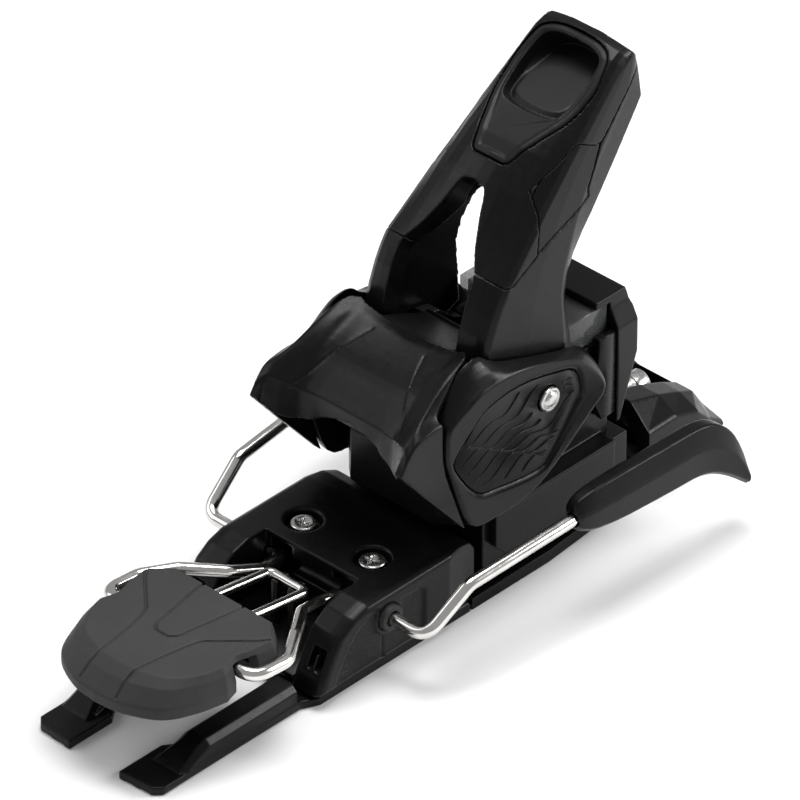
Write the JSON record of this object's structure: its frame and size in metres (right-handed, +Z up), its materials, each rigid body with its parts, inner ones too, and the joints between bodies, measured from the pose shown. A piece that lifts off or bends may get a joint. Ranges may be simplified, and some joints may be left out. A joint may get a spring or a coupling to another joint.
{
  "type": "ski binding heel piece with brake",
  "caption": "Step-in heel piece of an alpine ski binding: heel cup and opening lever on a cross axle, sprung housing on a track, folded wire ski brake with pedal.",
  "frame": {"origin": "on the ski's top surface, midway between the two front screws", "axes": "+X to the right seen from the toe side, +Y towards the ski's tail, +Z up from the ski"},
  "size_m": [0.138, 0.296, 0.1877],
  "materials": {
    "black_plastic": "fine-grained moulded black, satin",
    "soft_plastic": "matte charcoal with a soft grain",
    "dark_panel": "semi-gloss black",
    "clear_plastic": "smoked clear",
    "wire_steel": "polished stainless wire",
    "screw_steel": "bright zinc",
    "dark_steel": "oiled dark spring steel"
  },
  "bodies": {
    "root": {"base_fork": "black_plastic", "brake_base": "black_plastic", "brake_housing": "black_plastic", "front_screw_left": "screw_steel", "front_screw_right": "screw_steel", "rear_screw_left": "screw_steel", "rear_screw_right": "screw_steel", "axle_bush_left": "soft_plastic", "axle_bush_right": "soft_plastic", "track_rail": "black_plastic", "rail_end_block": "black_plastic"},
    "carriage": {"carriage": "black_plastic", "pressure_spring": "dark_steel"},
    "worm": {"worm_screw": "screw_steel"},
    "housing": {"heel_housing": "black_plastic", "rear_cover": "black_plastic", "housing_panel_left": "dark_panel", "housing_panel_right": "dark_panel", "din_window": "clear_plastic", "axle_pin": "screw_steel", "release_spring": "dark_steel"},
    "piston": {"spring_piston": "dark_steel"},
    "din_screw": {"din_screw": "screw_steel"},
    "din_nut": {"din_nut": "dark_steel", "din_indicator": "soft_plastic"},
    "heel_cup": {"heel_cup_shell": "black_plastic", "cup_liner": "soft_plastic", "treadle": "black_plastic", "cheek_left": "black_plastic", "cheek_right": "black_plastic", "side_panel_left": "dark_panel", "side_panel_right": "dark_panel"},
    "lever": {"lever_frame": "black_plastic", "lever_cover": "black_plastic", "lever_cup_insert": "soft_plastic", "lever_inlay_left": "dark_panel", "lever_inlay_right": "dark_panel"},
    "brake_arms": {"brake_wire_left": "wire_steel", "brake_wire_right": "wire_steel", "brake_foot_left": "black_plastic", "brake_foot_right": "black_plastic"},
    "pedal": {"pedal_cover": "soft_plastic", "pedal_base": "black_plastic"},
    "brake_link": {"brake_spring_wire": "wire_steel"}
  },
  "joints": [
    {"name": "length_adjust", "type": "slide", "parent": "root", "child": "carriage", "axis": [0, 1, 0], "range_m": [-0.008, 0.008]},
    {"name": "worm_turn", "type": "hinge", "parent": "carriage", "child": "worm", "pos_m": [0, 0.1587, 0.0198], "axis": [0, 1, 0], "range_deg": [-720, 720]},
    {"name": "forward_pressure", "type": "slide", "parent": "carriage", "child": "housing", "axis": [0, 1, 0], "range_m": [0, 0.006], "stiffness_N_per_m": 2000, "springref_m": -0.004, "deforming": ["pressure_spring"]},
    {"name": "heel_cup_pivot", "type": "hinge", "parent": "housing", "child": "heel_cup", "pos_m": [0, 0.068, 0.076], "axis": [1, 0, 0], "range_deg": [-22, 0], "stiffness_Nm_per_rad": 0.6, "springref_deg": 34.38},
    {"name": "lever_pivot", "type": "hinge", "parent": "heel_cup", "child": "lever", "pos_m": [0, 0.068, 0.076], "axis": [1, 0, 0], "range_deg": [-11, 0]},
    {"name": "piston_slide", "type": "slide", "parent": "housing", "child": "piston", "axis": [0, 1, 0], "range_m": [0, 0.004], "deforming": ["release_spring"]},
    {"name": "din_screw_turn", "type": "hinge", "parent": "housing", "child": "din_screw", "pos_m": [0, 0.123, 0.048], "axis": [0, 1, 0], "range_deg": [-1153, 1153]},
    {"name": "din_nut_slide", "type": "slide", "parent": "housing", "child": "din_nut", "axis": [0, 1, 0], "range_m": [-0.004, 0.004], "deforming": ["release_spring"]},
    {"name": "brake_arms_pivot", "type": "hinge", "parent": "root", "child": "brake_arms", "pos_m": [0, -0.0114, 0.0226], "axis": [1, 0, 0], "range_deg": [-45, 0]},
    {"name": "pedal_pivot", "type": "hinge", "parent": "brake_arms", "child": "pedal", "pos_m": [0, -0.08, 0.033], "axis": [1, 0, 0], "range_deg": [0, 16.1]},
    {"name": "brake_link_pivot", "type": "hinge", "parent": "root", "child": "brake_link", "pos_m": [0, -0.025, 0.027], "axis": [1, 0, 0], "range_deg": [-50.9, 0]}
  ],
  "couplings": [
    {"joint": "worm_turn", "follows": "length_adjust", "rad_per_m": 1570.8},
    {"joint": "lever_pivot", "follows": "heel_cup_pivot", "ratio": 0.5},
    {"joint": "piston_slide", "follows": "heel_cup_pivot", "m_per_rad": -0.0101},
    {"joint": "din_screw_turn", "follows": "din_nut_slide", "rad_per_m": -5026.6},
    {"joint": "pedal_pivot", "follows": "brake_arms_pivot", "ratio": -0.356},
    {"joint": "brake_link_pivot", "follows": "brake_arms_pivot", "ratio": 1.13}
  ]
}
